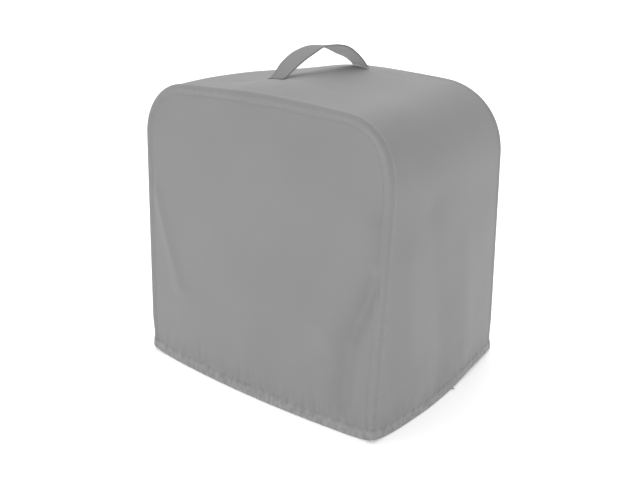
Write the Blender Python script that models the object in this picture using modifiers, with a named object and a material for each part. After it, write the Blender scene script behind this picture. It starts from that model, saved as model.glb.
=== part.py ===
# Ice maker cover: two arch-topped cloth panels joined by one long gusset band that runs up a side,
# over the top and down the other side, with a flat carrying strap sewn to the middle of the top.
# Metres, +Z up, +X along the wide front, +Y from front to back. The origin is on the underside of the
# middle of the top, where the covered appliance carries the cloth; the hem hangs level below it.

from collections import namedtuple
from math import cos, exp, hypot, pi, radians, sin

import bmesh
import bpy
from mathutils import Vector

# Driving dimensions
WIDTH = 0.348             # side to side, at the top
TOP_DEPTH = 0.210         # front seam to back seam, at the top
HEIGHT = 0.340            # hem to the seams at the top
HEM_FLARE = 0.0231        # how far the front and the back each stand out at the hem
HEM_NARROWING = 0.0052    # how far each side comes in at the hem
CROWN = 0.0086            # fall of the top seams from the middle to the sides
PANEL_BELLY = 0.0098      # outward bow of a panel's hem
SIDE_BELLY = 0.0108       # outward bow of a side's hem
CLOTH = 0.0016            # thickness of the cloth
HEM_CLOTH = 0.0024        # thickness of the turned hem
HEM_HEIGHT = 0.015
SEAM_GAP = 0.0003         # clearance between sewn pieces
EDGE_CALM = 0.022         # width beside a seam where folds die out
HEM_CALM = 0.045          # height above the hem's edge in which folds grow to their full size
FOLD_END = 0.375          # a side's folds die out on its shoulder, where it faces this little sideways

# The top stands up round the strap's feet, and the slack left shoulder bows outward.
TOP_LIFT = 0.009
TOP_LIFT_PLACE = 0.005    # its middle, along X
TOP_LIFT_REACH = 0.050
LEFT_BOW = 0.0077
LEFT_BOW_PLACE = -0.120
LEFT_BOW_REACH = 0.045
LEFT_BOW_START = 0.252    # height where the bow begins
LEFT_BOW_RISE = 0.058     # further height in which it grows to its full size

ORIGIN_HEIGHT = HEIGHT + TOP_LIFT - CLOTH   # height of the origin above the hem

# A shoulder is a quarter of a superellipse: its run across, its drop, and its roundness
# (2 is an ellipse, more is squarer).
Shoulder = namedtuple("Shoulder", "across drop roundness")
FRONT_LEFT = Shoulder(across=0.056, drop=0.063, roundness=2.03)
FRONT_RIGHT = Shoulder(across=0.065, drop=0.087, roundness=2.54)
BACK_LEFT = Shoulder(across=0.160, drop=0.092, roundness=1.77)
BACK_RIGHT = Shoulder(across=0.075, drop=0.079, roundness=2.24)

# A fold runs from its start past its middle to its end, each given as (place across, height above
# the hem). Its rise is outward, so a trough has a rise below zero; spread is its half width.
Fold = namedtuple("Fold", "start middle end rise spread")
FRONT_FOLDS = (
    Fold(start=(0.160, 0.176), middle=(0.132, 0.104), end=(0.129, 0.034), rise=-0.0034, spread=0.0090),
    Fold(start=(0.158, 0.228), middle=(0.132, 0.170), end=(0.106, 0.110), rise=0.0030, spread=0.0120),
    Fold(start=(-0.156, 0.205), middle=(-0.141, 0.166), end=(-0.116, 0.100), rise=0.0022, spread=0.0070),
    Fold(start=(-0.060, 0.180), middle=(-0.066, 0.120), end=(-0.070, 0.060), rise=-0.0012, spread=0.0300),
)
RIGHT_FOLDS = (
    Fold(start=(-0.042, 0.232), middle=(-0.020, 0.130), end=(-0.006, 0.010), rise=-0.0034, spread=0.0140),
    Fold(start=(-0.082, 0.190), middle=(-0.076, 0.110), end=(-0.060, 0.030), rise=0.0024, spread=0.0130),
    Fold(start=(0.030, 0.180), middle=(0.037, 0.108), end=(0.046, 0.020), rise=0.0022, spread=0.0130),
    Fold(start=(-0.112, 0.100), middle=(-0.104, 0.062), end=(-0.094, 0.026), rise=-0.0022, spread=0.0090),
)
LEFT_FOLDS = (
    Fold(start=(-0.030, 0.210), middle=(-0.016, 0.120), end=(-0.008, 0.010), rise=-0.0028, spread=0.0150),
    Fold(start=(0.050, 0.170), middle=(0.048, 0.100), end=(0.040, 0.020), rise=0.0020, spread=0.0140),
)
BACK_FOLDS = (
    Fold(start=(-0.140, 0.170), middle=(-0.118, 0.110), end=(-0.112, 0.036), rise=-0.0026, spread=0.0110),
    Fold(start=(0.120, 0.200), middle=(0.100, 0.120), end=(0.096, 0.040), rise=-0.0024, spread=0.0120),
)

# The carrying strap. Its line runs a little askew, from the front foot to the back foot.
STRAP_FRONT_FOOT = (-0.024, -0.052)
STRAP_BACK_FOOT = (0.006, 0.064)
STRAP_THICKNESS = 0.0016
STRAP_BEND = 0.0016        # radius at which an end folds under its leg
STRAP_TAB = 0.015          # length of the end that is turned under and sewn down
STRAP_LEVEL_RISE = 0.014   # rise above which the strap no longer follows the cloth under it
STRAP_COLUMNS = 4
STRAP_STEPS = 34
STRAP_BEND_STEPS = 5

# Rows of the strap's arch: distance along its line from the middle, rise above the feet, width, and
# lean, in degrees, of its +X edge upwards.
StrapRow = namedtuple("StrapRow", "along rise width lean")
STRAP_ARCH = (
    StrapRow(along=-0.0594, rise=0.0045, width=0.032, lean=0),
    StrapRow(along=-0.0400, rise=0.0120, width=0.027, lean=3),
    StrapRow(along=-0.0130, rise=0.0243, width=0.025, lean=4),
    StrapRow(along=0.0050, rise=0.0298, width=0.025, lean=6),
    StrapRow(along=0.0200, rise=0.0276, width=0.025, lean=11),
    StrapRow(along=0.0350, rise=0.0205, width=0.026, lean=13),
    StrapRow(along=0.0480, rise=0.0112, width=0.028, lean=8),
    StrapRow(along=0.0594, rise=0.0045, width=0.032, lean=0),
)

# Heights of the rows round the hem, the last just above its fold.
HEM_EDGE = 0.002
HEM_ROWS = (0.0, 0.009, HEM_HEIGHT, HEM_HEIGHT + HEM_EDGE)

# Steps of the sheets. The band's steps are given for each stretch of its run.
PANEL_COLUMNS = 22
PANEL_SIDE_ROWS = 13
PANEL_SHOULDER_ROWS = 9
BAND_STEPS = (("left", 11), ("left shoulder", 9), ("top", 13), ("right shoulder", 9), ("right", 11))
BAND_ROWS = 12


def mix(a, b, share):
    return a + (b - a) * share


def smooth(value):
    value = min(max(value, 0.0), 1.0)
    return value * value * (3 - 2 * value)


def makeMaterial(name, colour, roughness):
    material = bpy.data.materials.new(name)
    material.use_nodes = True
    shader = material.node_tree.nodes["Principled BSDF"]
    shader.inputs["Base Color"].default_value = (*colour, 1)
    shader.inputs["Roughness"].default_value = roughness
    shader.inputs["Metallic"].default_value = 0
    return material


def distanceToSegment(place, start, end):
    runX, runH = end[0] - start[0], end[1] - start[1]
    share = ((place[0] - start[0]) * runX + (place[1] - start[1]) * runH) / (runX ** 2 + runH ** 2)
    share = min(max(share, 0.0), 1.0)
    return hypot(place[0] - start[0] - share * runX, place[1] - start[1] - share * runH)


def foldRise(folds, place):
    """How far the folds push the cloth outward at a place across and up the piece."""
    total = 0.0
    for fold in folds:
        distance = min(distanceToSegment(place, fold.start, fold.middle),
                       distanceToSegment(place, fold.middle, fold.end))
        total += fold.rise * exp(-0.5 * (distance / fold.spread) ** 2)
    return total


def hemStep(height):
    """The turned hem stands out by its extra thickness."""
    return (HEM_CLOTH - CLOTH) * (1 - smooth((height - HEM_HEIGHT) / HEM_EDGE))


def narrowed(x, height):
    return x * (1 - 2 * HEM_NARROWING / WIDTH * (1 - height / HEIGHT))


def crowned(x, height):
    return height - CROWN * (2 * x / WIDTH) ** 2 * (height / HEIGHT) ** 4


def halfDepth(height):
    return TOP_DEPTH / 2 + HEM_FLARE * (1 - height / HEIGHT)


def lowFade(height):
    """The bow of the hem, which is gone at the top."""
    return 1 - (height / HEIGHT) ** 2


def topLift(x, y):
    """Rise of the top's middle above its level seams."""
    along = exp(-((x - TOP_LIFT_PLACE) / TOP_LIFT_REACH) ** 2)
    return TOP_LIFT * along * (1 - (2 * y / TOP_DEPTH) ** 4)


def leftBow(x, height, middle):
    """Outward bow of the slack left shoulder, which its seams hold in."""
    along = exp(-((x - LEFT_BOW_PLACE) / LEFT_BOW_REACH) ** 2)
    return LEFT_BOW * along * smooth((height - LEFT_BOW_START) / LEFT_BOW_RISE) * (1 - middle ** 2)


def outlineHalfWidth(shoulder, height):
    """Half the width of a panel, on the side of one shoulder."""
    rise = max(height - (HEIGHT - shoulder.drop), 0.0) / shoulder.drop
    power = shoulder.roundness
    return WIDTH / 2 - shoulder.across * (1 - (1 - min(rise, 1.0) ** power) ** (1 / power))


def outlinePoint(stretch, share, left, right):
    """x, height and outward direction on a panel's outline, from the left hem to the right hem."""
    if stretch == "top":
        x = mix(-WIDTH / 2 + left.across, WIDTH / 2 - right.across, share)
        return x, HEIGHT, (0.0, 1.0)
    side = -1 if stretch.startswith("left") else 1
    shoulder = left if side < 0 else right
    upward = share if side < 0 else 1 - share
    if stretch in ("left", "right"):
        return side * WIDTH / 2, upward * (HEIGHT - shoulder.drop), (side, 0.0)
    angle = upward * pi / 2
    power = 2 / shoulder.roundness
    x = side * (WIDTH / 2 - shoulder.across * (1 - cos(angle) ** power))
    height = HEIGHT - shoulder.drop * (1 - sin(angle) ** power)
    return x, height, (side * cos(angle), sin(angle))


def panelHeights():
    """Heights of a panel's rows: the hem's, even ones up the sides, and closer ones at the top."""
    shoulderStart = HEIGHT - FRONT_RIGHT.drop
    rows = list(HEM_ROWS)
    for step in range(1, PANEL_SIDE_ROWS + 1):
        rows.append(mix(HEM_ROWS[-1], shoulderStart, step / PANEL_SIDE_ROWS))
    for step in range(1, PANEL_SHOULDER_ROWS + 1):
        rows.append(shoulderStart + FRONT_RIGHT.drop * sin(step / PANEL_SHOULDER_ROWS * pi / 2))
    return rows


def panelPoint(across, height, side, left, right, folds):
    """Outer surface of a panel; side is -1 at the front and 1 at the back."""
    x = mix(-outlineHalfWidth(left, height), outlineHalfWidth(right, height), across)
    x = narrowed(x, height)
    middle = 2 * across - 1
    fromEdge = min(across, 1 - across) * WIDTH
    calm = smooth(fromEdge / EDGE_CALM) * smooth((HEIGHT - height) / EDGE_CALM) * smooth(height / HEM_CALM)
    out = PANEL_BELLY * (1 - middle ** 2) * lowFade(height)
    out += foldRise(folds, (x, height)) * calm + hemStep(height)
    return Vector((x, side * (halfDepth(height) + out), crowned(x, height) - ORIGIN_HEIGHT))


def bandPoint(stretch, share, through):
    """Outer surface of the gusset band; through runs from the front seam to the back seam."""
    ends = []
    for side, left, right in ((-1, FRONT_LEFT, FRONT_RIGHT), (1, BACK_LEFT, BACK_RIGHT)):
        x, height, outward = outlinePoint(stretch, share, left, right)
        x = narrowed(x, height)
        y = side * (halfDepth(height) - CLOTH - SEAM_GAP)
        ends.append(Vector((x, y, crowned(x, height))))
    place = ends[0].lerp(ends[1], through)
    middle = 2 * through - 1
    out = SIDE_BELLY * (1 - middle ** 2) * lowFade(place.z) * abs(outward[0])
    folds = LEFT_FOLDS if outward[0] < 0 else RIGHT_FOLDS
    calm = smooth(min(through, 1 - through) * TOP_DEPTH / EDGE_CALM)
    calm *= smooth((abs(outward[0]) - FOLD_END) / (1 - FOLD_END)) * smooth(place.z / HEM_CALM)
    out += foldRise(folds, (place.y, place.z)) * calm + hemStep(place.z)
    bow = leftBow(place.x, place.z, middle)
    lift = topLift(place.x, place.y) * outward[1]
    place.x += out * outward[0] - bow * cos(pi / 4)
    place.z += out * outward[1] + bow * sin(pi / 4) + lift - ORIGIN_HEIGHT
    return place


def makeSheet(name, columns, rows, shape, thickness, material, hem=False):
    """A grid bent to a shape of its column and row numbers, then thickened inward."""
    mesh = bpy.data.meshes.new(name)
    grid = bmesh.new()
    bmesh.ops.create_grid(grid, x_segments=columns, y_segments=rows, size=0.5)
    for vertex in grid.verts:
        column = round((vertex.co.x + 0.5) * columns)
        row = round((vertex.co.y + 0.5) * rows)
        vertex.co = shape(column, row)
    grid.to_mesh(mesh)
    grid.free()
    sheet = bpy.data.objects.new(name, mesh)
    collection.objects.link(sheet)
    mesh.materials.append(material)
    mesh.shade_smooth()
    solidify = sheet.modifiers.new("Thickness", "SOLIDIFY")
    solidify.thickness = thickness
    solidify.offset = -1
    if hem:
        group = sheet.vertex_groups.new(name="Cloth")
        for vertex in mesh.vertices:
            share = (CLOTH + hemStep(vertex.co.z + ORIGIN_HEIGHT)) / thickness
            group.add([vertex.index], share, "REPLACE")
        solidify.vertex_group = group.name
    return sheet


def makePanel(name, side, left, right, folds, material):
    heights = panelHeights()

    def shape(column, row):
        across = column / PANEL_COLUMNS
        if side > 0:
            across = 1 - across
        return panelPoint(across, heights[row], side, left, right, folds)

    return makeSheet(name, PANEL_COLUMNS, len(heights) - 1, shape, HEM_CLOTH, material, hem=True)


def makeBand(material):
    """The gusset band, from its left hem over the top to its right hem."""
    leftRun, rightRun = HEIGHT - FRONT_LEFT.drop, HEIGHT - FRONT_RIGHT.drop
    stations = [("left", height / leftRun) for height in HEM_ROWS]
    for stretch, steps in BAND_STEPS:
        first = HEM_ROWS[-1] / leftRun if stretch == "left" else 0.0
        last = 1 - HEM_ROWS[-1] / rightRun if stretch == "right" else 1.0
        for step in range(1, steps + 1):
            stations.append((stretch, mix(first, last, step / steps)))
    for height in reversed(HEM_ROWS[:-1]):
        stations.append(("right", 1 - height / rightRun))

    def shape(column, row):
        stretch, share = stations[column]
        return bandPoint(stretch, share, row / BAND_ROWS)

    return makeSheet("gusset_band", len(stations) - 1, BAND_ROWS, shape, HEM_CLOTH, material, hem=True)


def strapLine(along):
    """x and y on the strap's line, at a distance from its middle."""
    front, back = Vector(STRAP_FRONT_FOOT), Vector(STRAP_BACK_FOOT)
    return (front + back) / 2 + (back - front).normalized() * along


def strapRows():
    """The strap's rows from the front tab, over the arch, to the back tab."""
    rows = []
    first, last = STRAP_ARCH[0], STRAP_ARCH[-1]
    tabRise = first.rise - 2 * STRAP_BEND
    rows.append(StrapRow(first.along + STRAP_TAB, tabRise, first.width, 0))
    rows.append(StrapRow(first.along + STRAP_TAB / 2, tabRise, first.width, 0))
    for turn in range(STRAP_BEND_STEPS + 1):
        angle = pi * turn / STRAP_BEND_STEPS
        rows.append(StrapRow(first.along - STRAP_BEND * sin(angle),
                             tabRise + STRAP_BEND * (1 - cos(angle)), first.width, 0))
    for step in range(1, STRAP_STEPS):
        rows.append(archRow(step / STRAP_STEPS))
    for turn in reversed(range(STRAP_BEND_STEPS + 1)):
        angle = pi * turn / STRAP_BEND_STEPS
        rows.append(StrapRow(last.along + STRAP_BEND * sin(angle),
                             tabRise + STRAP_BEND * (1 - cos(angle)), last.width, 0))
    rows.append(StrapRow(last.along - STRAP_TAB / 2, tabRise, last.width, 0))
    rows.append(StrapRow(last.along - STRAP_TAB, tabRise, last.width, 0))
    return rows


def archRow(share):
    """A row on the smooth curve through the arch's own rows."""
    place = share * (len(STRAP_ARCH) - 1)
    index = min(int(place), len(STRAP_ARCH) - 2)
    t = place - index
    before = STRAP_ARCH[max(index - 1, 0)]
    start, end = STRAP_ARCH[index], STRAP_ARCH[index + 1]
    after = STRAP_ARCH[min(index + 2, len(STRAP_ARCH) - 1)]
    values = []
    for a, b, c, d in zip(before, start, end, after):
        values.append(0.5 * (2 * b + (c - a) * t + (2 * a - 5 * b + 4 * c - d) * t ** 2
                             + (3 * b - a - 3 * c + d) * t ** 3))
    return StrapRow(*values)


def topHeight(x, y):
    """Height of the top's cloth above the hem."""
    return crowned(x, HEIGHT) + topLift(x, y)


def makeStrap(material):
    """The strap: its tabs lie on the top's cloth, and its arch is level from foot to foot."""
    rows = strapRows()
    direction = (Vector(STRAP_BACK_FOOT) - Vector(STRAP_FRONT_FOOT)).normalized()
    feet = topHeight(*STRAP_FRONT_FOOT), topHeight(*STRAP_BACK_FOOT)
    span = STRAP_ARCH[-1].along - STRAP_ARCH[0].along

    def shape(column, row):
        arch = rows[row]
        place = strapLine(arch.along)
        offset = (column / STRAP_COLUMNS - 0.5) * arch.width
        lean = radians(arch.lean)
        x = place.x + direction.y * offset * cos(lean)
        y = place.y - direction.x * offset * cos(lean)
        level = mix(*feet, (arch.along - STRAP_ARCH[0].along) / span)
        base = mix(topHeight(x, y), level, smooth(arch.rise / STRAP_LEVEL_RISE))
        return Vector((x, y, base + arch.rise + offset * sin(lean) - ORIGIN_HEIGHT))

    strap = makeSheet("handle_strap", STRAP_COLUMNS, len(rows) - 1, shape, STRAP_THICKNESS, material)
    strap.modifiers["Thickness"].offset = 0
    return strap


for old in list(bpy.data.objects):
    bpy.data.objects.remove(old)

collection = bpy.data.collections.new("ice_maker_cover")
bpy.context.scene.collection.children.link(collection)

cloth = makeMaterial("grey_woven_cloth", (0.31, 0.31, 0.31), 0.75)
webbing = makeMaterial("grey_strap_cloth", (0.26, 0.26, 0.26), 0.8)

makePanel("front_panel", -1, FRONT_LEFT, FRONT_RIGHT, FRONT_FOLDS, cloth)
makePanel("back_panel", 1, BACK_LEFT, BACK_RIGHT, BACK_FOLDS, cloth)
makeBand(cloth)
makeStrap(webbing)
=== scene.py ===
# Ice maker cover in grey woven polyester: two arch-topped panels, one gusset band, a sewn carrying strap.
from math import atan2, cos, exp, hypot, pi, radians, sin, sqrt

import bmesh
import bpy
from mathutils import Matrix, Vector, noise


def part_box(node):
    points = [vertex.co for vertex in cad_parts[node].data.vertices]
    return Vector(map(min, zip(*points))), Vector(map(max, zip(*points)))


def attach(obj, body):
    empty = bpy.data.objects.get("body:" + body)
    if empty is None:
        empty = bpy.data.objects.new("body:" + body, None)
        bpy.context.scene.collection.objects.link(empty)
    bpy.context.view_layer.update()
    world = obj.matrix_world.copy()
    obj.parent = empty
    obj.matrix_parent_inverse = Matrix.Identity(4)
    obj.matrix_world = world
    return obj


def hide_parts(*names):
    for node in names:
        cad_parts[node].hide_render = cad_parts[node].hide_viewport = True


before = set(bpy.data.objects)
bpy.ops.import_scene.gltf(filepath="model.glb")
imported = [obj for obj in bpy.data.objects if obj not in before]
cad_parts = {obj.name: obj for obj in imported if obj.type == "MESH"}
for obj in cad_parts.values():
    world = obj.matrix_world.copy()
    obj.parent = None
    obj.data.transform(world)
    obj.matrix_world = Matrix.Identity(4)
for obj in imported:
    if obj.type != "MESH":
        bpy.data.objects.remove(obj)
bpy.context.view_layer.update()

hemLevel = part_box("front_panel")[0][2]      # the hem hangs level here
mm = 0.001

coverShape = dict(
    width=0.348,            # side to side, at the top
    topDepth=0.210,         # front seam to back seam, at the top
    height=0.340,           # hem to the seams at the top
    hemFlare=0.0231,        # how far front and back each stand out at the hem
    hemNarrowing=0.0052,    # how far each side comes in at the hem
    crown=0.0086,           # fall of the top seams towards the sides
    panelBelly=0.0098,      # outward bow of a panel's hem
    sideBelly=0.0108,       # outward bow of a side's hem
    sideBellyLean=0.18,     # more of it towards the front
    hemRise=0.0034,         # the right side's hem hangs this much higher
    hemRisePlace=0.072,
    hemRiseReach=0.034,
    hemRiseHeight=0.06,     # it fades out by this height
    hemRiseEdge=20 * mm,    # and this near the seams
    edgeCalm=0.022,         # folds die out this near a seam
    hemCalm=0.045,          # and this near the hem
    gatherCalm=10 * mm,     # and the hem's gathers this near a seam
    slack=0.5 * mm,         # broad unevenness of the cloth
    slackScale=0.055,
    topLift=0.009,          # the top stands up round the strap's feet
    topLiftPlace=0.005,
    topLiftReach=0.050,
    leftBow=0.0084,         # the slack left shoulder bows outward
    leftBowPlace=-0.114,
    leftBowReach=0.045,
    leftBowStart=0.252,
    leftBowRise=0.058,
    cloth=0.0008,           # two threads thick, with its coating
    hemCloth=0.0014,        # turned twice and pressed
    hemHeight=0.0112,
    hemStitch=0.0095,       # height of the hem's stitch line
    hemEdgeRound=0.0006,    # its folded edge is round
    hemEdgeReach=0.0012,
    hemEndBelow=0.001,      # its turned cloth ends in a slope, from this far below hemHeight
    hemEndReach=0.0026,
    hemThinReach=0.0016,
    hemKick=0.0006,         # the stiff hem turns outward a little
    hemKickReach=0.016,
    hemTuck=0.0008,         # and its stitching draws in the cloth just above it
    hemTuckPlace=0.020,
    hemTuckReach=0.010,
    cornerRound=0.0042,     # radius of a sewn corner
    cornerReach=0.05,       # the hem's corners differ from it up to this height
    seamBead=0.0016,        # how far the seam's inner layers hold it proud
    seamDip=0.0001,         # how deep the seam itself is drawn in
    seamDipReach=0.8 * mm,
)

# A shoulder is a quarter of a superellipse: run across, drop, and roundness (2 is an ellipse). Below
# it the hem's edge is drawn up at the corner by its lift, and the corner has its own radius there.
frontLeft = dict(across=0.056, drop=0.063, roundness=2.03, lift=0.0050, liftReach=0.016, hemRound=0.0075)
frontRight = dict(across=0.065, drop=0.087, roundness=2.54, lift=0.0042, liftReach=0.008, hemRound=0.0036)
backLeft = dict(across=0.160, drop=0.092, roundness=1.77, lift=0.0034, liftReach=0.009, hemRound=0.0042)
backRight = dict(across=0.075, drop=0.079, roundness=2.24, lift=0.0034, liftReach=0.009, hemRound=0.0042)


def mix(a, b, share):
    return a + (b - a) * share


def smooth(value):
    value = min(max(value, 0.0), 1.0)
    return value * value * (3 - 2 * value)


def bump(distance, spread):
    return exp(-0.5 * (distance / spread) ** 2)


# Points are (place across, height) in metres; a trough has a rise below zero.
def fold(points, rise, spread, sharp=1.0):
    return dict(points=points, rise=rise, spread=spread, sharp=sharp)


def segmentDistance(place, start, end):
    runX, runH = end[0] - start[0], end[1] - start[1]
    share = ((place[0] - start[0]) * runX + (place[1] - start[1]) * runH) / (runX ** 2 + runH ** 2)
    share = min(max(share, 0.0), 1.0)
    return hypot(place[0] - start[0] - share * runX, place[1] - start[1] - share * runH)


def foldRise(folds, place):
    total = 0.0
    for one in folds:
        reach = 4 * one["spread"]
        points = one["points"]
        distance = min(segmentDistance(place, a, b) for a, b in zip(points, points[1:]))
        if distance < reach:
            total += one["rise"] * exp(-0.5 * (distance / one["spread"]) ** (2 * one["sharp"]))
    return total


def narrowed(x, height):
    low = 1 - height / coverShape["height"]
    return x * (1 - 2 * coverShape["hemNarrowing"] / coverShape["width"] * low)


def crowned(x, height):
    fall = coverShape["crown"] * (2 * x / coverShape["width"]) ** 2
    return height - fall * (height / coverShape["height"]) ** 4


def halfDepth(height):
    return coverShape["topDepth"] / 2 + coverShape["hemFlare"] * (1 - height / coverShape["height"])


def lowFade(height):
    return 1 - (height / coverShape["height"]) ** 2


def topLift(x, y):
    along = exp(-((x - coverShape["topLiftPlace"]) / coverShape["topLiftReach"]) ** 2)
    return coverShape["topLift"] * along * (1 - min(abs(2 * y / coverShape["topDepth"]), 1) ** 4)


def leftBow(x, height, middle):
    along = exp(-((x - coverShape["leftBowPlace"]) / coverShape["leftBowReach"]) ** 2)
    growth = smooth((height - coverShape["leftBowStart"]) / coverShape["leftBowRise"])
    return coverShape["leftBow"] * along * growth * (1 - middle ** 2)


# The turned hem stands out by its extra layers, and its folded edge is round.
def hemStep(height):
    extra = coverShape["hemCloth"] - coverShape["cloth"]
    edge = coverShape["hemEdgeRound"] * (1 - sqrt(min(max(height, 0.0) / coverShape["hemEdgeReach"], 1.0)))
    kick = coverShape["hemKick"] * (1 - smooth(height / coverShape["hemKickReach"]))
    kick -= coverShape["hemTuck"] * bump(height - coverShape["hemTuckPlace"], coverShape["hemTuckReach"])
    end = smooth((height - coverShape["hemHeight"] + coverShape["hemEndBelow"]) / coverShape["hemEndReach"])
    return extra * (1 - end) + kick - edge


def outlineHalfWidth(shoulder, height):
    full = coverShape["height"]
    rise = min(max(height - (full - shoulder["drop"]), 0.0) / shoulder["drop"], 1.0)
    power = shoulder["roundness"]
    return coverShape["width"] / 2 - shoulder["across"] * (1 - (1 - rise ** power) ** (1 / power))


# x and height on the flat outline, from the left hem round to the right hem
def outlinePoint(station, left, right):
    stretch, share = station
    width, full = coverShape["width"], coverShape["height"]
    if stretch == "top":
        return mix(-width / 2 + left["across"], width / 2 - right["across"], share), full
    side = -1 if stretch.startswith("left") else 1
    shoulder = left if side < 0 else right
    if stretch.endswith("hem"):
        return side * width / 2, share
    if stretch in ("left", "right"):
        return side * width / 2, mix(hemRows[-1] * mm, full - shoulder["drop"], share)
    power = 2 / shoulder["roundness"]
    x = side * (width / 2 - shoulder["across"] * (1 - cos(share * pi / 2) ** power))
    return x, full - shoulder["drop"] * (1 - sin(share * pi / 2) ** power)


# Stations run round the outline. The hem's rows are close, so that its fold and stitch line show.
hemRows = [0, 0.4, 1.2, 2.6, 4.4, 6.2, 7.6, 8.4, 9, 9.5, 10, 10.6, 11.2, 11.9, 12.7, 14.2, 17.5, 22]   # mm
stitchRow = hemRows.index(9.5)
stationSteps = dict(side=84, shoulder=44, top=92)


def makeStations():
    sideShares = [step / stationSteps["side"] for step in range(1, stationSteps["side"] + 1)]
    shoulderShares = [step / stationSteps["shoulder"] for step in range(1, stationSteps["shoulder"] + 1)]
    upward = [[(side + " hem", height * mm) for height in hemRows]
              + [(side, share) for share in sideShares]
              + [(side + " shoulder", share) for share in shoulderShares] for side in ("left", "right")]
    top = [("top", step / stationSteps["top"]) for step in range(1, stationSteps["top"])]
    return upward[0] + top + upward[1][::-1]


stations = makeStations()
sideCount = len(hemRows) + stationSteps["side"] + stationSteps["shoulder"] // 2   # hem to mid shoulder


def outlineWithNormals(left, right):
    points = [outlinePoint(station, left, right) for station in stations]
    normals, lengths = [], [0.0]
    for index, (x, height) in enumerate(points):
        if index:
            lengths.append(lengths[-1] + hypot(x - points[index - 1][0], height - points[index - 1][1]))
        before, after = points[max(index - 1, 0)], points[min(index + 1, len(points) - 1)]
        runX, runH = after[0] - before[0], after[1] - before[1]
        length = hypot(runX, runH)
        normals.append((-runH / length, runX / length))
    return points, normals, lengths


# How far in and how far back the cloth is, at an arc distance from the seam of a round corner. The
# layers folded inside the seam hold it proud of the flat cloth, and the seam itself is drawn in.
def cornerRoll(arc, beadWidth, height, corner):
    radius = mix(corner["hemRound"], coverShape["cornerRound"], smooth(height / coverShape["cornerReach"]))
    quarter = radius * pi / 4
    proud = coverShape["seamBead"] * (1 - smooth(arc / beadWidth))
    proud -= coverShape["seamDip"] * exp(-arc / coverShape["seamDipReach"])
    proud += hemStep(height)
    if arc >= quarter:
        return radius + arc - quarter, -proud
    angle = pi / 4 * (1 - arc / quarter)
    return radius - (radius + proud) * sin(angle), radius - (radius + proud) * cos(angle)


def unevenness(x, y, scale, seed):
    return noise.noise(Vector((x / scale, y / scale, seed)))


# how far the stitching draws the hem up near a corner
def cornerPull(fromSeam, height, corner):
    fade = 1 - smooth(height / coverShape["cornerReach"])
    return corner["lift"] * exp(-fromSeam / corner["liftReach"]) * fade


# Flat places in metres: on the cloth itself, along and above the hem, and along and away from the seam.
def flatMaps(mesh, maps):
    for name, places in maps.items():
        layer = mesh.uv_layers.new(name=name)
        for loop in mesh.loops:
            layer.data[loop.index].uv = places[loop.vertex_index]


# a thin sheet, thickened inward by its own measure at each point, with crisp cut edges
def sheetObject(name, points, faces, maps, thicknesses):
    outer = bpy.data.meshes.new(name + "Face")
    outer.from_pydata(points, [], faces)
    inside = [tuple(Vector(point) - vertex.normal * thickness)
              for point, vertex, thickness in zip(points, outer.vertices, thicknesses)]
    bpy.data.meshes.remove(outer)
    sides = {pair for face in faces for pair in zip(face, face[1:] + face[:1])}
    rim = [(a, b) for a, b in sides if (b, a) not in sides]
    count = len(points)
    inner = [tuple(index + count for index in reversed(face)) for face in faces]
    edges = [(b, a, a + count, b + count) for a, b in rim]
    mesh = bpy.data.meshes.new(name)
    mesh.from_pydata(points + inside, [], faces + inner + edges)
    flatMaps(mesh, {key: places + places for key, places in maps.items()})
    mesh.shade_smooth()
    crisp = {frozenset(pair) for pair in rim} | {frozenset((a + count, b + count)) for a, b in rim}
    for edge in mesh.edges:
        edge.use_edge_sharp = frozenset(edge.vertices) in crisp
    piece = bpy.data.objects.new(name, mesh)
    bpy.context.scene.collection.objects.link(piece)
    return piece


def clothThickness(height):
    step = 1 - smooth((height - coverShape["hemHeight"]) / coverShape["hemThinReach"])
    return mix(coverShape["cloth"], coverShape["hemCloth"], step)


frontPanel = dict(
    name="frontPanel", node="front_panel", side=-1, left=frontLeft, right=frontRight, seed=3.1,
    folds=[
        fold([(0.160, 0.176), (0.132, 0.104), (0.127, 0.034)], -6.6 * mm, 8.5 * mm),
        fold([(0.158, 0.228), (0.132, 0.170), (0.106, 0.110)], 5.0 * mm, 12 * mm),
        fold([(-0.156, 0.205), (-0.141, 0.166), (-0.116, 0.100)], 1.9 * mm, 7 * mm),
        fold([(-0.060, 0.180), (-0.066, 0.120), (-0.070, 0.060)], -1.2 * mm, 30 * mm),
    ],
    creases=[
        fold([(-0.159, 0.216), (-0.150, 0.186), (-0.137, 0.158), (-0.122, 0.118)], 0.5 * mm, 2.4 * mm),
        fold([(0.150, 0.158), (0.141, 0.132), (0.135, 0.108)], -0.7 * mm, 3 * mm),
        fold([(0.131, 0.070), (0.134, 0.044), (0.139, 0.022)], -0.8 * mm, 3.5 * mm),
        fold([(0.149, 0.090), (0.154, 0.050), (0.152, 0.022)], 0.9 * mm, 5 * mm),
    ],
    puckerRise=0.55 * mm, puckerMiddle=0.030, puckerReach=0.090, puckerRest=0.45,
)
backPanel = dict(
    name="backPanel", node="back_panel", side=1, left=backLeft, right=backRight, seed=7.7,
    folds=[
        fold([(-0.140, 0.170), (-0.118, 0.110), (-0.112, 0.036)], -2.6 * mm, 11 * mm),
        fold([(0.120, 0.200), (0.100, 0.120), (0.096, 0.040)], -2.4 * mm, 12 * mm),
    ],
    creases=[
        fold([(-0.128, 0.146), (-0.121, 0.118), (-0.116, 0.090)], -0.6 * mm, 3 * mm),
        fold([(0.108, 0.160), (0.102, 0.128), (0.098, 0.100)], 0.6 * mm, 3 * mm),
    ],
    puckerRise=0.50 * mm, puckerMiddle=-0.020, puckerReach=0.120, puckerRest=0.5,
)

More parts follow.
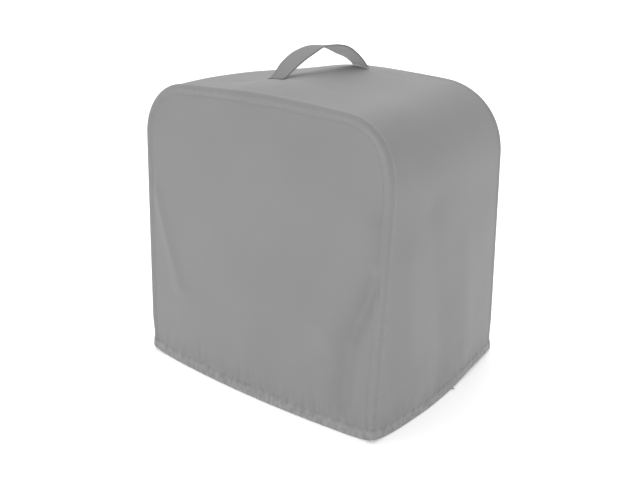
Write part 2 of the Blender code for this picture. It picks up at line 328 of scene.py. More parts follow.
# The allowance is pressed over onto the panels, and its stitching puckers the cloth beside it.
seamAllowance = dict(
    width=0.0092, gussetWidth=0.006, stitch=0.0084, stitchDip=0.00035, stitchDipReach=0.7 * mm,
    pucker=0.16 * mm, puckerScale=0.006, stationMm=3, puckerStart=2 * mm,
    panelPucker=(9 * mm, 5 * mm), gussetPucker=(5 * mm, 6 * mm),    # where it fades, and over how far
)
# distances from the seam in mm; the gusset has the first of them
bandRings = [0.0, 0.25, 0.7, 1.4, 2.2, 3.2, 4.6, 6.2, 7.5, 8.1, 8.7, 9.3, 10.0, 10.8, 12.0, 14.0]
gussetRings = bandRings[:11]
gatherShape = dict(
    reachUp=26 * mm, reachDown=9 * mm,      # from the hem's stitching
    wander=6 * mm, wanderScale=0.05,
    fineShare=1.5, fineScale=0.0075, fineStretch=0.16,
    broadShare=1.2, broadScale=0.021, broadStretch=0.25,
)


# small upright gathers that the hem's stitching draws into the cloth
def hemPucker(along, height, panel):
    stitch, seed = coverShape["hemStitch"], panel["seed"]
    reach = gatherShape["reachUp"] if height > stitch else gatherShape["reachDown"]
    fade = exp(-abs(height - stitch) / reach)
    place = along + gatherShape["wander"] * unevenness(along, height, gatherShape["wanderScale"], seed)
    fine = unevenness(place, height * gatherShape["fineStretch"], gatherShape["fineScale"], seed + 5)
    broad = unevenness(place, height * gatherShape["broadStretch"], gatherShape["broadScale"], seed + 9)
    strength = mix(panel["puckerRest"], 1, bump(along - panel["puckerMiddle"], panel["puckerReach"]))
    waves = gatherShape["fineShare"] * fine + gatherShape["broadShare"] * broad
    return panel["puckerRise"] * strength * fade * waves


# outer surface of a panel at a flat place
def panelPlace(panel, x, height):
    left, right = outlineHalfWidth(panel["left"], height), outlineHalfWidth(panel["right"], height)
    across = (x + left) / (left + right)
    middle = min(max(2 * across - 1, -1), 1)
    fromEdge = min(across, 1 - across) * coverShape["width"]
    calm = smooth(fromEdge / coverShape["edgeCalm"])
    calm *= smooth((coverShape["height"] - height) / coverShape["edgeCalm"])
    calm *= smooth(height / coverShape["hemCalm"])
    flatX = narrowed(x, height)
    out = coverShape["panelBelly"] * (1 - middle ** 2) * lowFade(height)
    out += foldRise(panel["folds"] + panel["creases"], (flatX, height)) * calm
    out += hemPucker(flatX, height, panel) * smooth(fromEdge / coverShape["gatherCalm"])
    out += coverShape["slack"] * unevenness(flatX, height, coverShape["slackScale"], panel["seed"]) * calm
    corner = panel["left"] if across < 0.5 else panel["right"]
    level = crowned(flatX, height) + cornerPull(fromEdge, height, corner) + hemLevel
    return flatX, panel["side"] * (halfDepth(height) + out), level


# how far the cloth beside the seam is puckered, at a place along the seam and away from it
def seamPucker(along, across, arc, fades, seed):
    pucker = seamAllowance["pucker"] * unevenness(along, across, seamAllowance["puckerScale"], seed)
    fade = 1 - smooth((arc - fades[0]) / fades[1])
    return pucker * smooth(arc / seamAllowance["puckerStart"]) * fade


def makePanel(panel):
    outline, normals, lengths = outlineWithNormals(panel["left"], panel["right"])
    points, flats, hems, seams, thicknesses, faces = [], [], [], [], [], []
    count = len(stations)

    def addPoint(x, height, back=0.0, fromSeam=(0.0, 0.05)):
        place = panelPlace(panel, x, height)
        points.append((place[0], place[1] - panel["side"] * back, place[2]))
        flats.append((x, height))
        hems.append((x, height))
        seams.append(fromSeam)
        thicknesses.append(clothThickness(height))
        return len(points) - 1

    rings = []
    for arcMm in bandRings:
        arc = arcMm * mm
        nearStitch = bump(arc - seamAllowance["stitch"], seamAllowance["stitchDipReach"])
        stitchDip = seamAllowance["stitchDip"] * nearStitch
        ring = []
        for index in range(count):
            x, height = outline[index]
            outX, outH = normals[index]
            corner = panel["left"] if index < count / 2 else panel["right"]
            inset, back = cornerRoll(arc, seamAllowance["width"], height, corner)
            along = index * seamAllowance["stationMm"] * mm
            lift = seamPucker(along, arc, arc, seamAllowance["panelPucker"], panel["seed"] + 2) - stitchDip
            ring.append(addPoint(x - outX * inset, height - outH * inset, back - lift, (lengths[index], arc)))
        rings.append(ring)
    # inside the sewn band the cloth is one grid, whose rim is the band's inner ring
    rim = [flats[index] for index in rings[-1]]
    rows = sideCount
    topFirst, topLast = rows - 1, count - rows
    levelBelow = 0.03       # the grid's lines are level up to here, and then bend to the top's curve
    columns = topLast - topFirst
    grid = []
    for row in range(rows):
        leftRim, rightRim = rim[row], rim[count - 1 - row]
        meanHeight = (leftRim[1] + rightRim[1]) / 2
        endHeight = (rim[topFirst][1] + rim[topLast][1]) / 2
        follow = max((meanHeight - levelBelow) / (endHeight - levelBelow), 0.0) ** 2
        line = []
        for column in range(columns + 1):
            if row == rows - 1:
                line.append(rings[-1][topFirst + column])
                continue
            if column in (0, columns):
                line.append(rings[-1][row if column == 0 else count - 1 - row])
                continue
            topX, topH = rim[topFirst + column]
            share = (topX - rim[topFirst][0]) / (rim[topLast][0] - rim[topFirst][0])
            rise = topH - mix(rim[topFirst][1], rim[topLast][1], share)
            x = mix(leftRim[0], rightRim[0], share)
            height = mix(leftRim[1], rightRim[1], share) + follow * rise
            line.append(addPoint(x, height, -hemStep(height)))
        grid.append(line)
    for outer, inner in zip(rings, rings[1:]):
        for index in range(count - 1):
            faces.append((outer[index], inner[index], inner[index + 1], outer[index + 1]))
    for lower, upper in zip(grid, grid[1:]):
        for column in range(columns):
            faces.append((lower[column], lower[column + 1], upper[column + 1], upper[column]))
    if panel["side"] > 0:
        faces = [tuple(reversed(face)) for face in faces]
    maps = dict(flatCloth=flats, hemPlace=hems, seamPlace=seams)
    piece = sheetObject(panel["name"], points, faces, maps, thicknesses)
    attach(piece, "root")
    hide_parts(panel["node"])
    seam = [rings[bandRings.index(8.7)], rings[bandRings.index(8.1)]]     # either side of the stitching
    return piece, points, seam, grid


gusset = dict(
    name="gussetBand", node="gusset_band", rows=64, seed=5.3,
    rightFolds=[
        fold([(-0.042, 0.232), (-0.020, 0.130), (-0.006, 0.010)], -2.8 * mm, 14 * mm),
        fold([(-0.082, 0.190), (-0.076, 0.110), (-0.060, 0.030)], 2.4 * mm, 13 * mm),
        fold([(0.030, 0.180), (0.037, 0.108), (0.046, 0.020)], 1.6 * mm, 13 * mm),
        fold([(-0.112, 0.100), (-0.104, 0.062), (-0.094, 0.026)], -2.2 * mm, 9 * mm),
        fold([(-0.044, 0.060), (-0.038, 0.040), (-0.030, 0.018)], 1.0 * mm, 5 * mm),
        fold([(0.034, 0.046), (0.040, 0.030), (0.046, 0.014)], 0.9 * mm, 5 * mm),
    ],
    leftFolds=[
        fold([(-0.030, 0.210), (-0.016, 0.120), (-0.008, 0.010)], -2.8 * mm, 15 * mm),
        fold([(0.050, 0.170), (0.048, 0.100), (0.040, 0.020)], 2.0 * mm, 14 * mm),
    ],
    topFolds=[
        fold([(-0.006, -0.054), (0.024, -0.048), (0.060, -0.046)], -0.5 * mm, 5 * mm),
        fold([(-0.044, -0.058), (-0.072, -0.066)], -0.7 * mm, 4 * mm),
        fold([(-0.030, -0.070), (-0.036, -0.086)], 0.5 * mm, 4 * mm),
        fold([(0.004, -0.074), (0.036, -0.080)], 0.5 * mm, 5 * mm),
        fold([(0.024, 0.060), (0.052, 0.064)], -0.6 * mm, 5 * mm),
    ],
    puckerRise=0.45 * mm, puckerMiddle=0.0, puckerReach=0.080, puckerRest=0.7,
)


# 1 where the cloth faces a way squarely, and 0 where it hardly does
def facing(share):
    return smooth(1.6 * share - 0.6)


def makeGusset():
    front, frontNormals, frontLengths = outlineWithNormals(frontLeft, frontRight)
    back, backNormals, backLengths = outlineWithNormals(backLeft, backRight)
    edgeArcs = [arc * mm for arc in gussetRings]
    points, flats, hems, seams, thicknesses, faces = [], [], [], [], [], []
    count = len(stations)
    columnsOut = []
    for index in range(count):
        lengthAlong = (frontLengths[index] + backLengths[index]) / 2
        ends = []
        for side, outline, normals in ((-1, front, frontNormals), (1, back, backNormals)):
            x, height = outline[index]
            narrow = narrowed(x, height)
            ends.append((narrow, side * halfDepth(height), crowned(narrow, height), normals[index]))
        depth = ends[1][1] - ends[0][1]
        corners = (frontLeft, backLeft) if index < count / 2 else (frontRight, backRight)
        frontRolls, backRolls = [
            [cornerRoll(arc, seamAllowance["gussetWidth"], front[index][1], corner) for arc in edgeArcs]
            for corner in corners]
        crossings = list(zip(frontRolls, edgeArcs))
        inner = gusset["rows"]
        for step in range(1, inner):
            inset = mix(frontRolls[-1][0], depth - backRolls[-1][0], step / inner)
            crossings.append(((inset, -hemStep(front[index][1])), min(inset, depth - inset)))
        crossings += [((depth - inset, drop), arc)
                      for (inset, drop), arc in reversed(list(zip(backRolls, edgeArcs)))]
        column = []
        for (inset, drop), arc in crossings:
            through = inset / depth
            x = mix(ends[0][0], ends[1][0], through)
            y = mix(ends[0][1], ends[1][1], through)
            height = mix(ends[0][2], ends[1][2], through)
            outX = mix(ends[0][3][0], ends[1][3][0], through)
            outH = mix(ends[0][3][1], ends[1][3][1], through)
            size = hypot(outX, outH)
            outX, outH = outX / size, outH / size
            middle = 2 * through - 1
            sideways = abs(outX)
            fromEdge = min(inset, depth - inset)
            calm = smooth(fromEdge / coverShape["edgeCalm"]) * smooth(height / coverShape["hemCalm"])
            out = coverShape["sideBelly"] * (1 - middle ** 2) * lowFade(height) * sideways
            out *= 1 - coverShape["sideBellyLean"] * middle
            folds = gusset["leftFolds"] if outX < 0 else gusset["rightFolds"]
            out += foldRise(folds, (y, height)) * calm * facing(sideways)
            out += foldRise(gusset["topFolds"], (x, y)) * calm * facing(outH)
            out += hemPucker(y, height, gusset) * smooth(fromEdge / coverShape["gatherCalm"])
            uneven = unevenness(lengthAlong, y, coverShape["slackScale"], gusset["seed"])
            out += coverShape["slack"] * uneven * calm
            out += seamPucker(lengthAlong, inset, arc, seamAllowance["gussetPucker"], gusset["seed"] + 2)
            bow = leftBow(x, height, middle)
            lift = topLift(x, y) * max(outH, 0.0)
            out -= drop
            lift += bow * sin(pi / 4) + cornerPull(fromEdge, height, corners[0 if through < 0.5 else 1])
            if outX > 0:
                rise = bump(y - coverShape["hemRisePlace"], coverShape["hemRiseReach"])
                rise *= 1 - smooth(height / coverShape["hemRiseHeight"])
                lift += coverShape["hemRise"] * rise * smooth(fromEdge / coverShape["hemRiseEdge"])
            points.append((x + out * outX - bow * cos(pi / 4), y, height + out * outH + lift + hemLevel))
            flats.append((lengthAlong, y))
            hems.append((y, height))
            seams.append((lengthAlong, arc))
            thicknesses.append(clothThickness(height))
            column.append(len(points) - 1)
        columnsOut.append(column)
    for before, after in zip(columnsOut, columnsOut[1:]):
        for step in range(len(before) - 1):
            faces.append((before[step], after[step], after[step + 1], before[step + 1]))
    maps = dict(flatCloth=flats, hemPlace=hems, seamPlace=seams)
    piece = sheetObject(gusset["name"], points, faces, maps, thicknesses)
    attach(piece, "root")
    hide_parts(gusset["node"])
    return piece, points, columnsOut


strap = dict(
    name="handleStrap", node="handle_strap",
    frontFoot=(-0.024, -0.052), backFoot=(0.011, 0.064),
    thickness=0.0012, endThickness=0.3, endShare=0.12, levelRise=0.014, steps=170,
    acrossSteps=[-1, -0.93, -0.84, -0.78, -0.70, -0.5, -0.25, 0, 0.25, 0.5, 0.70, 0.78, 0.84, 0.93, 1],
    stitchColumns=(2, 12), footRows=(4, 12),
    stitchPlace=0.79, stitchReach=0.05, stitchPress=0.28,       # stitching presses it thinner
    edgePlace=0.9, edgeReach=0.1, edgePress=0.75,               # and its folded edges are round
    ripple=0.12 * mm, rippleScale=0.007, rippleAcross=0.02, seed=1.7,
    # distance along the strap's line, rise above the top, width, and lean of the +X edge in degrees
    arch=[
        (-0.0594, 0.0004, 0.032, 0), (-0.0560, 0.0006, 0.031, 0), (-0.0520, 0.0026, 0.031, -1),
        (-0.0470, 0.0070, 0.030, -3), (-0.0400, 0.0132, 0.030, -5), (-0.0270, 0.0211, 0.030, -6),
        (-0.0130, 0.0266, 0.028, -4), (-0.0040, 0.0290, 0.026, 1), (0.0050, 0.0293, 0.025, 6),
        (0.0130, 0.0284, 0.026, 11), (0.0200, 0.0266, 0.027, 16), (0.0280, 0.0238, 0.029, 19),
        (0.0350, 0.0203, 0.030, 19), (0.0420, 0.0162, 0.030, 14), (0.0480, 0.0118, 0.031, 8),
        (0.0530, 0.0072, 0.032, 3), (0.0570, 0.0032, 0.032, 0), (0.0594, 0.0006, 0.032, 0),
    ],
)


def archRow(share):
    rows = strap["arch"]
    place = share * (len(rows) - 1)
    index = min(int(place), len(rows) - 2)
    t = place - index
    around = [rows[max(index - 1, 0)], rows[index], rows[index + 1], rows[min(index + 2, len(rows) - 1)]]
    values = []
    for a, b, c, d in zip(*around):
        cubic = 2 * b + (c - a) * t + (2 * a - 5 * b + 4 * c - d) * t ** 2 + (3 * b - a - 3 * c + d) * t ** 3
        values.append(0.5 * cubic)
    return tuple(values)


# middle of the strap's thickness; across runs from -1 at its -X edge to 1
def strapPlace(row, across):
    along, rise, width, lean = row
    front, back = Vector(strap["frontFoot"]), Vector(strap["backFoot"])
    direction = (back - front).normalized()
    place = (front + back) / 2 + direction * along
    offset = across * width / 2
    tilt = radians(lean)
    x = place.x + direction.y * offset * cos(tilt)
    y = place.y - direction.x * offset * cos(tilt)
    full = coverShape["height"]
    feet = [crowned(foot[0], full) + topLift(*foot) for foot in (strap["frontFoot"], strap["backFoot"])]
    span = strap["arch"][-1][0] - strap["arch"][0][0]
    level = mix(feet[0], feet[1], (along - strap["arch"][0][0]) / span)
    under = crowned(x, full) + topLift(x, y)
    base = mix(under, level, smooth(rise / strap["levelRise"]))
    return Vector((x, y, base + rise + offset * sin(tilt) + hemLevel))


def makeStrap():
    rows = [archRow(step / strap["steps"]) for step in range(strap["steps"] + 1)]
    acrossSteps = strap["acrossSteps"]
    centre = len(acrossSteps) // 2
    middles = [[strapPlace(row, across) for across in acrossSteps] for row in rows]
    points, flats, edges, faces = [], [], [], []
    length = 0.0
    lines = []
    for index, middle in enumerate(middles):
        before, after = middles[max(index - 1, 0)], middles[min(index + 1, len(rows) - 1)]
        if index:
            length += (middle[centre] - middles[index - 1][centre]).length
        fromEnd = min(index, strap["steps"] - index) / strap["steps"]
        ending = mix(strap["endThickness"], 1, smooth(fromEnd / strap["endShare"]))
        halfThick = strap["thickness"] / 2 * ending
        ring = []
        for face in (1, -1):
            order = range(len(acrossSteps)) if face > 0 else reversed(range(len(acrossSteps)))
            for j in order:
                across = acrossSteps[j]
                tangent = (after[j] - before[j]).normalized()
                sideways = (middle[-1] - middle[0]).normalized()
                normal = sideways.cross(tangent).normalized()
                stitch = bump(abs(across) - strap["stitchPlace"], strap["stitchReach"])
                edge = max(abs(across) - strap["edgePlace"], 0) / strap["edgeReach"]
                puff = 1 - strap["stitchPress"] * stitch - strap["edgePress"] * edge
                ripple = strap["ripple"] * (1 - abs(across)) * unevenness(
                    length, across * strap["rippleAcross"], strap["rippleScale"], strap["seed"] + face)
                points.append(middle[j] + normal * face * (halfThick * puff + ripple))
                flats.append((across * rows[index][2] / 2, length))
                edges.append((length, (1 - abs(across)) * rows[index][2] / 2))
                ring.append(len(points) - 1)
        lines.append(ring)
    for before, after in zip(lines, lines[1:]):
        size = len(before)
        for j in range(size):
            k = (j + 1) % size
            faces.append((before[j], before[k], after[k], after[j]))
    faces.append(tuple(reversed(lines[0])))
    faces.append(tuple(lines[-1]))
    mesh = bpy.data.meshes.new(strap["name"])
    mesh.from_pydata(points, [], faces)
    flatMaps(mesh, dict(flatCloth=flats, edgePlace=edges))
    mesh.shade_smooth()
    piece = bpy.data.objects.new(strap["name"], mesh)
    bpy.context.scene.collection.objects.link(piece)
    fixed = bmesh.new()
    fixed.from_mesh(mesh)
    bmesh.ops.recalc_face_normals(fixed, faces=fixed.faces)
    fixed.to_mesh(mesh)
    fixed.free()
    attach(piece, "root")
    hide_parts(strap["node"])
    return piece, points, lines


thread = dict(
    pitch=0.0032, length=0.0025, radius=0.00034, sink=0.3, sides=6, lean=0.07,
    # along a stitch, thickness, and rise of its rings
    rings=((-0.5, 0.35, -0.9), (-0.3, 0.85, 0.1), (0.0, 1.0, 0.55), (0.3, 0.85, 0.1), (0.5, 0.35, -0.9)),
    # a loose end at the right side's hem, in mm from its edge
    endRadius=0.0008, endPlace=0.014,
    endSteps=((-0.4, 0, 1.6), (0.5, 0.1, 1.2), (1.6, 0.4, 0.7), (2.6, 0.9, 0.9), (3.4, 1.6, 1.5)),
)


# faces between rings of points, with a cap at each end
def joinRings(builder, rings):
    for a, b in zip(rings, rings[1:]):
        for turn in range(len(a)):
            k = (turn + 1) % len(a)
            builder.faces.new((a[turn], b[turn], b[k], a[k]))
    builder.faces.new(list(reversed(rings[0])))
    builder.faces.new(rings[-1])


# stitches of one length, laid end to end along a path on the cloth
def stitchLine(builder, path, normals):
    pitch, stitchLength, radius = thread["pitch"], thread["length"], thread["radius"]
    angles = [turn * 2 * pi / thread["sides"] for turn in range(thread["sides"])]
    travelled, target = 0.0, pitch / 2
    for index in range(len(path) - 1):
        step = (path[index + 1] - path[index]).length
        while step > 0 and travelled + step >= target:
            share = (target - travelled) / step
            centre = path[index].lerp(path[index + 1], share)
            along = (path[index + 1] - path[index]).normalized()
            normal = normals[index].normalized()
            across = normal.cross(along).normalized()
            rings = []
            for ahead, size, high in thread["rings"]:
                ring = []
                for angle in angles:
                    offset = across * cos(angle) * radius * size
                    offset += normal * (sin(angle) * size + high - thread["sink"]) * radius
                    ring.append(builder.verts.new(centre + along * ahead * stitchLength + offset))
                rings.append(ring)
            joinRings(builder, rings)
            target += pitch
        travelled += step


# a loose end of thread through some places
def threadEnd(builder, places):
    rings = []
    angles = [turn * 2 * pi / thread["sides"] for turn in range(thread["sides"])]
    for index, place in enumerate(places):
        along = (places[min(index + 1, len(places) - 1)] - places[max(index - 1, 0)]).normalized()
        across = along.orthogonal().normalized()
        up = along.cross(across)
        rings.append([builder.verts.new(place + (across * cos(angle) + up * sin(angle)) * thread["endRadius"])
                      for angle in angles])
    joinRings(builder, rings)


def stitchObject(name, paths, looseEnd=None):
    mesh = bpy.data.meshes.new(name)
    builder = bmesh.new()
    for path, normals in paths:
        stitchLine(builder, path, normals)
    if looseEnd:
        threadEnd(builder, looseEnd)
    bmesh.ops.recalc_face_normals(builder, faces=builder.faces)
    builder.to_mesh(mesh)
    builder.free()
    mesh.shade_smooth()
    piece = bpy.data.objects.new(name, mesh)
    bpy.context.scene.collection.objects.link(piece)
    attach(piece, "root")
    return piece


# an sRGB hex colour as linear values
def colour(text):
    values = [int(text[i:i + 2], 16) / 255 for i in (1, 3, 5)]
    linear = [v / 12.92 if v <= 0.04045 else ((v + 0.055) / 1.055) ** 2.4 for v in values]
    return (*linear, 1.0)


# adds a node with its settings, its inputs' values, and links from other nodes' outputs
def addNode(tree, kind, settings=None, values=None, links=None):
    node = tree.nodes.new(kind)
    for key, value in (settings or {}).items():
        setattr(node, key, value)
    for key, value in (values or {}).items():
        node.inputs[key].default_value = value
    for key, output in (links or {}).items():
        tree.links.new(output, node.inputs[key])
    return node


# Plain-woven polyester, dyed grey and calendered: a smooth matt face with a faint sheen at grazing
# angles, soft pressed unevenness, and threads too fine to see from a step away.
clothLook = dict(
    light="#8e8e8e", deep="#868686", broadMm=90,
    roughness=0.62, sheen=0.05, sheenRoughness=0.45, ior=1.5,
    threadMm=0.9,       # real threads lie about 0.35 mm apart; drawn coarser here and on the strap
    weaveDepthMm=0.03, crumpleMm=26, crumpleDepthMm=0.30, fineMm=5, fineDepthMm=0.04,
    # gathers beside a stitch line: spacing, length, slant, depth, painted light and shade on their crests and
    # hollows, and where they fade out
    gathers=[
        dict(map="hemPlace", acrossMm=6, alongMm=30, slant=0.1, depthMm=0.9, paintedShading=0.20,
             fullMm=10, endMm=50),
        dict(map="hemPlace", acrossMm=5.5, alongMm=8, slant=-0.5, depthMm=1.2, paintedShading=0.60,
             fullMm=9, endMm=20),
        dict(map="seamPlace", acrossMm=4.5, alongMm=20, slant=0.2, depthMm=0.4, paintedShading=0.07,
             fullMm=5, endMm=13.5),
    ],
    pale=dict(map="hemPlace", factor=1.13, fullMm=8, endMm=13),   # painted light: the hem's band is tinted paler, where its doubled layers hide the dark inside
    paintedWeaveLight=0.06,
)
# The strap is the same cloth folded to four layers and sewn along both edges, whose colour is darkened as
# painted shade.
strapLook = dict(clothLook, light="#b4b4b4", deep="#aaaaaa", roughness=0.66, threadMm=3.3, weaveDepthMm=0.10,
                 gathers=[], pale=dict(map="edgePlace", factor=0.68, fullMm=1.0, endMm=2.6), paintedWeaveLight=0.62,
                 through=0.54, throughColour="#ececec")


# Long narrow gathers stand square to a stitch line and fade out away from it. Painted light and shade:
# their crests are painted paler than the hollows between them. Gives the height and the shade with them
# added.
def gathered(tree, heights, shade, gathers):
    place = addNode(tree, "ShaderNodeUVMap", {"uv_map": gathers["map"]}).outputs[0]
    away = addNode(tree, "ShaderNodeSeparateXYZ", links={0: place}).outputs[1]
    scales = (1 / (gathers["acrossMm"] * mm), 1 / (gathers["alongMm"] * mm), 1)
    scaled = addNode(tree, "ShaderNodeMapping", {"vector_type": "POINT"},
                     {"Scale": scales, "Rotation": (0, 0, gathers["slant"])}, {"Vector": place}).outputs[0]
    ridges = addNode(tree, "ShaderNodeTexNoise", {"noise_dimensions": "2D"}, {"Scale": 1.0, "Detail": 1.5},
                     {"Vector": scaled}).outputs["Fac"]
    ridges = addNode(tree, "ShaderNodeMath", {"operation": "SUBTRACT"}, {1: 0.5}, {0: ridges}).outputs[0]
    fade = addNode(tree, "ShaderNodeMapRange", {"interpolation_type": "SMOOTHSTEP"},
                   {1: gathers["fullMm"] * mm, 2: gathers["endMm"] * mm, 3: 1.0, 4: 0.0},
                   {0: away}).outputs[0]
    swing = addNode(tree, "ShaderNodeMath", {"operation": "MULTIPLY"}, links={0: ridges, 1: fade}).outputs[0]
    # the second sum puts painted light on the crests and painted shade in the hollows into the colour's shade
    return [addNode(tree, "ShaderNodeMath", {"operation": "MULTIPLY_ADD"},
                    {1: share}, {0: swing, 2: start}).outputs[0]
            for share, start in ((gathers["depthMm"] * mm, heights), (gathers["paintedShading"], shade))]


def wovenMaterial(name, look):
    material = bpy.data.materials.new(name)
    material.use_nodes = True
    tree = material.node_tree
    shader = tree.nodes["Principled BSDF"]
    place = addNode(tree, "ShaderNodeUVMap", {"uv_map": "flatCloth"}).outputs[0]
    split = addNode(tree, "ShaderNodeSeparateXYZ", links={0: place})
    waves = []
    for axis in (0, 1):
        turned = addNode(tree, "ShaderNodeMath", {"operation": "MULTIPLY"},
                         {1: pi / (look["threadMm"] * mm)}, {0: split.outputs[axis]}).outputs[0]
        waves.append(addNode(tree, "ShaderNodeMath", {"operation": "SINE"}, links={0: turned}).outputs[0])
    # over and under: where the two waves agree the warp is on top, elsewhere the weft
    product = addNode(tree, "ShaderNodeMath", {"operation": "MULTIPLY"}, links={0: waves[0], 1: waves[1]})
    over = addNode(tree, "ShaderNodeMath", {"operation": "GREATER_THAN"}, {1: 0.0}, {0: product.outputs[0]})
    warp, weft = [addNode(tree, "ShaderNodeMath", {"operation": "ABSOLUTE"}, links={0: wave}).outputs[0]
                  for wave in waves]
    threadTop = addNode(tree, "ShaderNodeMix", links={0: over.outputs[0], 2: weft, 3: warp}).outputs[0]
    inSpace = addNode(tree, "ShaderNodeTexCoord").outputs["Object"]
    crumple, fine, broad = [
        addNode(tree, "ShaderNodeTexNoise", values={"Scale": 1 / (look[size] * mm), "Detail": detail},
                links={"Vector": inSpace}).outputs["Fac"]
        for size, detail in (("crumpleMm", 2.0), ("fineMm", 3.0), ("broadMm", 2.0))]
    heights = addNode(tree, "ShaderNodeMath", {"operation": "MULTIPLY"},
                      {1: look["weaveDepthMm"] * mm}, {0: threadTop}).outputs[0]
    # painted highlight: the colour is paler where a thread lies on top, as light on the raised threads; the
    # strap has much more of it
    shade = addNode(tree, "ShaderNodeMath", {"operation": "MULTIPLY_ADD"},
                    {1: look["paintedWeaveLight"], 2: 1 - 0.8 * look["paintedWeaveLight"]}, {0: threadTop}).outputs[0]
    for gathers in look["gathers"]:
        heights, shade = gathered(tree, heights, shade, gathers)
    for texture, depth in ((crumple, "crumpleDepthMm"), (fine, "fineDepthMm")):
        heights = addNode(tree, "ShaderNodeMath", {"operation": "MULTIPLY_ADD"},
                          {1: look[depth] * mm}, {0: texture, 2: heights}).outputs[0]
    relief = addNode(tree, "ShaderNodeBump", values={"Strength": 1.0, "Distance": 1.0},
                     links={"Height": heights})
    tint = addNode(tree, "ShaderNodeMix", {"data_type": "RGBA"},
                   {6: colour(look["deep"]), 7: colour(look["light"])}, {0: broad}).outputs[2]
    # painted light and shade: along the hem the colour is made paler, and along the strap's edges darker
    pale = look["pale"]
    away = addNode(tree, "ShaderNodeUVMap", {"uv_map": pale["map"]}).outputs[0]
    away = addNode(tree, "ShaderNodeSeparateXYZ", links={0: away}).outputs[1]
    edge = addNode(tree, "ShaderNodeMapRange", {"interpolation_type": "SMOOTHSTEP"},
                   {1: pale["fullMm"] * mm, 2: pale["endMm"] * mm, 3: pale["factor"], 4: 1.0},
                   {0: away}).outputs[0]
    shade = addNode(tree, "ShaderNodeMath", {"operation": "MULTIPLY"}, links={0: shade, 1: edge}).outputs[0]
    shaded = addNode(tree, "ShaderNodeVectorMath", {"operation": "SCALE"}, links={0: tint, "Scale": shade})
    tree.links.new(shaded.outputs[0], shader.inputs["Base Color"])
    tree.links.new(relief.outputs[0], shader.inputs["Normal"])
    shader.inputs["Roughness"].default_value = look["roughness"]
    shader.inputs["IOR"].default_value = look["ior"]
    shader.inputs["Sheen Weight"].default_value = look["sheen"]
    shader.inputs["Sheen Roughness"].default_value = look["sheenRoughness"]
    if look.get("through"):       # a strap against the light lets some of it through
        glow = addNode(tree, "ShaderNodeVectorMath", {"operation": "SCALE"},
                       {0: colour(look["throughColour"])[:3]}, {"Scale": shade}).outputs[0]
        passed = addNode(tree, "ShaderNodeBsdfTranslucent", links={"Color": glow})
        both = addNode(tree, "ShaderNodeMixShader", values={0: look["through"]},
                       links={1: shader.outputs[0], 2: passed.outputs[0]})
        tree.links.new(both.outputs[0], tree.nodes["Material Output"].inputs["Surface"])
    return material


# Spun polyester sewing thread, twisted: a little duller than the cloth, and uneven along its length.
threadLook = dict(deep="#8c8c8c", pale="#a8a8a8", twistMm=0.6, roughness=0.6)


def threadMaterial():
    material = bpy.data.materials.new("spunPolyesterThread")
    material.use_nodes = True
    tree = material.node_tree
    shader = tree.nodes["Principled BSDF"]
    inSpace = addNode(tree, "ShaderNodeTexCoord").outputs["Object"]
    twist = addNode(tree, "ShaderNodeTexNoise",
                    values={"Scale": 1 / (threadLook["twistMm"] * mm), "Detail": 1.0},
                    links={"Vector": inSpace}).outputs["Fac"]
    tint = addNode(tree, "ShaderNodeMix", {"data_type": "RGBA"},
                   {6: colour(threadLook["deep"]), 7: colour(threadLook["pale"])}, {0: twist}).outputs[2]
    tree.links.new(tint, shader.inputs["Base Color"])
    shader.inputs["Roughness"].default_value = threadLook["roughness"]
    return material


camera = dict(
    azimuth=38.19, elevation=20.10, distance=1.0190, focal=853.95, roll=-0.13,
    aimPixel=(320.82, 222.31), picture=(640, 480), sensorMm=36,
)


# the cover's middle lands at the aim pixel
def makeCamera():
    azimuth, elevation = radians(camera["azimuth"]), radians(camera["elevation"])
    back = Vector((sin(azimuth) * cos(elevation), -cos(azimuth) * cos(elevation), sin(elevation)))
    target = Vector((0, 0, hemLevel + coverShape["height"] / 2))
    width, height = camera["picture"]
    turn = atan2(camera["aimPixel"][0] - width / 2, camera["focal"])
    tip = atan2(camera["aimPixel"][1] - height / 2, camera["focal"])
    heading = atan2(-back.y, -back.x) + turn
    pitch = -elevation + tip
    forward = Vector((cos(heading) * cos(pitch), sin(heading) * cos(pitch), sin(pitch)))
    right = forward.cross(Vector((0, 0, 1))).normalized()
    up = right.cross(forward)
    roll = radians(camera["roll"])
    right, up = right * cos(roll) + up * sin(roll), up * cos(roll) - right * sin(roll)
    lens = bpy.data.cameras.new("viewCamera")
    lens.sensor_width = camera["sensorMm"]
    lens.lens = camera["focal"] * camera["sensorMm"] / width
    viewer = bpy.data.objects.new("viewCamera", lens)
    bpy.context.scene.collection.objects.link(viewer)
    rotation = Matrix((right, up, -forward)).transposed()
    viewer.matrix_world = Matrix.Translation(target + back * camera["distance"]) @ rotation.to_4x4()
    bpy.context.scene.camera = viewer
    print("camera ready")


# The room is dimmer to the upper right, and the white table glows a little, as a lit product table does.
lights = dict(room=1.0, darkRoom=0.5, darkSide=(0.72, -0.1, 0.70), darkStart=0.6, darkFull=1.0, panels=[
    ("upperLeftPanel", (-0.7, 0.6, 1.7), 2.4, 15),
    ("lowRightPanel", (1.35, -0.65, -0.25), 0.6, 0.6),
])
table = dict(radius=9, drop=0.0004, colour="#fbfbfb", roughness=0.9, specular=0.1, glow=0.36)


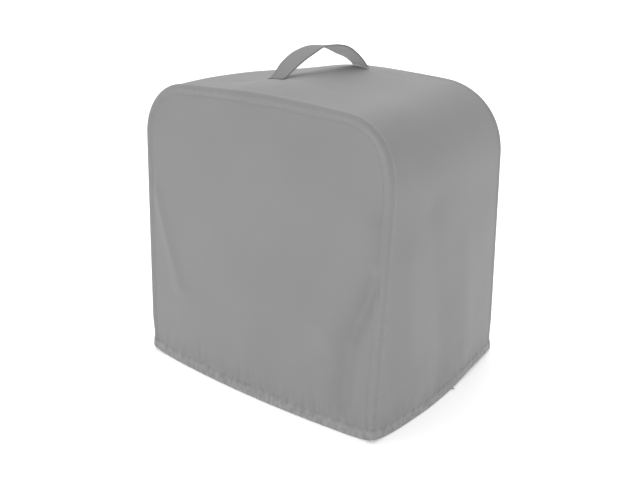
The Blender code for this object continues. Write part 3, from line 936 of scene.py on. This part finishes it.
# a plain white table just under the hem, a soft room, and two soft panels of light
def makeStage():
    mesh = bpy.data.meshes.new("paleFloor")
    builder = bmesh.new()
    bmesh.ops.create_circle(builder, cap_ends=True, segments=96, radius=table["radius"])
    builder.to_mesh(mesh)
    builder.free()
    floor = bpy.data.objects.new("paleFloor", mesh)
    floor.location = (0, 0, hemLevel - table["drop"])
    bpy.context.scene.collection.objects.link(floor)
    material = bpy.data.materials.new("paleFloor")
    material.use_nodes = True
    shader = material.node_tree.nodes["Principled BSDF"]
    shader.inputs["Base Color"].default_value = colour(table["colour"])
    shader.inputs["Roughness"].default_value = table["roughness"]
    shader.inputs["Specular IOR Level"].default_value = table["specular"]
    shader.inputs["Emission Color"].default_value = (1, 1, 1, 1)
    shader.inputs["Emission Strength"].default_value = table["glow"]
    mesh.materials.append(material)
    world = bpy.data.worlds.new("softRoom")
    bpy.context.scene.world = world
    world.use_nodes = True
    tree = world.node_tree
    background = tree.nodes["Background"]
    background.inputs["Color"].default_value = (1, 1, 1, 1)
    direction = addNode(tree, "ShaderNodeTexCoord").outputs["Generated"]
    towards = addNode(tree, "ShaderNodeVectorMath", {"operation": "DOT_PRODUCT"},
                      {1: Vector(lights["darkSide"]).normalized()}, {0: direction}).outputs["Value"]
    strength = addNode(tree, "ShaderNodeMapRange", {"interpolation_type": "SMOOTHSTEP"},
                       {1: lights["darkStart"], 2: lights["darkFull"],
                        3: lights["room"], 4: lights["darkRoom"]}, {0: towards}).outputs[0]
    tree.links.new(strength, background.inputs["Strength"])
    bpy.context.scene.view_settings.view_transform = "Standard"    # tones as a product photograph has them
    for name, place, size, power in lights["panels"]:
        lamp = bpy.data.lights.new(name, "AREA")
        lamp.size = size
        lamp.energy = power
        holder = bpy.data.objects.new(name, lamp)
        holder.location = place
        aim = Vector((0, 0, hemLevel + coverShape["height"] / 2)) - Vector(place)
        holder.rotation_euler = aim.to_track_quat("-Z", "Y").to_euler()
        bpy.context.scene.collection.objects.link(holder)
    print("stage ready")


makeCamera()
makeStage()

cloth = wovenMaterial("plainWovenPolyester", clothLook)
strapCloth = wovenMaterial("foldedPolyesterStrap", strapLook)
sewingThread = threadMaterial()


# Top stitching holds the seam allowance down on each panel, and one row holds its hem.
for panel in (frontPanel, backPanel):
    piece, points, seam, grid = makePanel(panel)
    piece.data.materials.append(cloth)
    seamPath = [(Vector(points[i]) + Vector(points[j])) / 2 for i, j in zip(*seam)]
    hemPath = [Vector(points[i]) for i in grid[stitchRow]]
    paths = [(path, [Vector((0, panel["side"], thread["lean"]))] * len(path)) for path in (seamPath, hemPath)]
    stitches = stitchObject(panel["name"] + "Stitches", paths)
    stitches.data.materials.append(sewingThread)
    print(panel["name"], "made,", len(points), "points")

band, bandPoints, bandColumns = makeGusset()
band.data.materials.append(cloth)
cornerPoints = 8       # the stitching stops short of the round corners
bandPaths = []
for column, out in ((bandColumns[stitchRow], -1), (bandColumns[-1 - stitchRow], 1)):
    path = [Vector(bandPoints[i]) for i in column[cornerPoints:-cornerPoints]]
    bandPaths.append((path, [Vector((out, 0, 0.0))] * len(path)))
# the side hem's stitching ends in a short loose thread
hemEdges = [Vector(bandPoints[i]) for i in bandColumns[-1]]
hemEdge = min(hemEdges, key=lambda place: abs(place.y - thread["endPlace"]))
looseEnd = [hemEdge + Vector(step) * mm for step in thread["endSteps"]]
bandStitches = stitchObject("gussetBandStitches", bandPaths, looseEnd)
bandStitches.data.materials.append(sewingThread)
print("gusset band made,", len(bandPoints), "points")

handle, handlePoints, handleLines = makeStrap()
handle.data.materials.append(strapCloth)
firstRow, lastRow = strap["footRows"][0], len(handleLines) - 1 - strap["footRows"][0]
strapPaths = []
for j in strap["stitchColumns"]:
    rings = handleLines[firstRow:lastRow]
    path = [Vector(handlePoints[ring[j]]) for ring in rings]
    strapPaths.append((path, [top - Vector(handlePoints[ring[-1 - j]]) for top, ring in zip(path, rings)]))
firstColumn, lastColumn = strap["stitchColumns"]
for row in [*strap["footRows"], *(len(handleLines) - 1 - row for row in strap["footRows"])]:
    tops = [Vector(handlePoints[index]) for index in handleLines[row][firstColumn:lastColumn + 1]]
    strapPaths.append((tops, [Vector((0, 0, 1))] * len(tops)))
handleStitches = stitchObject("handleStrapStitches", strapPaths)
handleStitches.data.materials.append(sewingThread)
print("strap made")
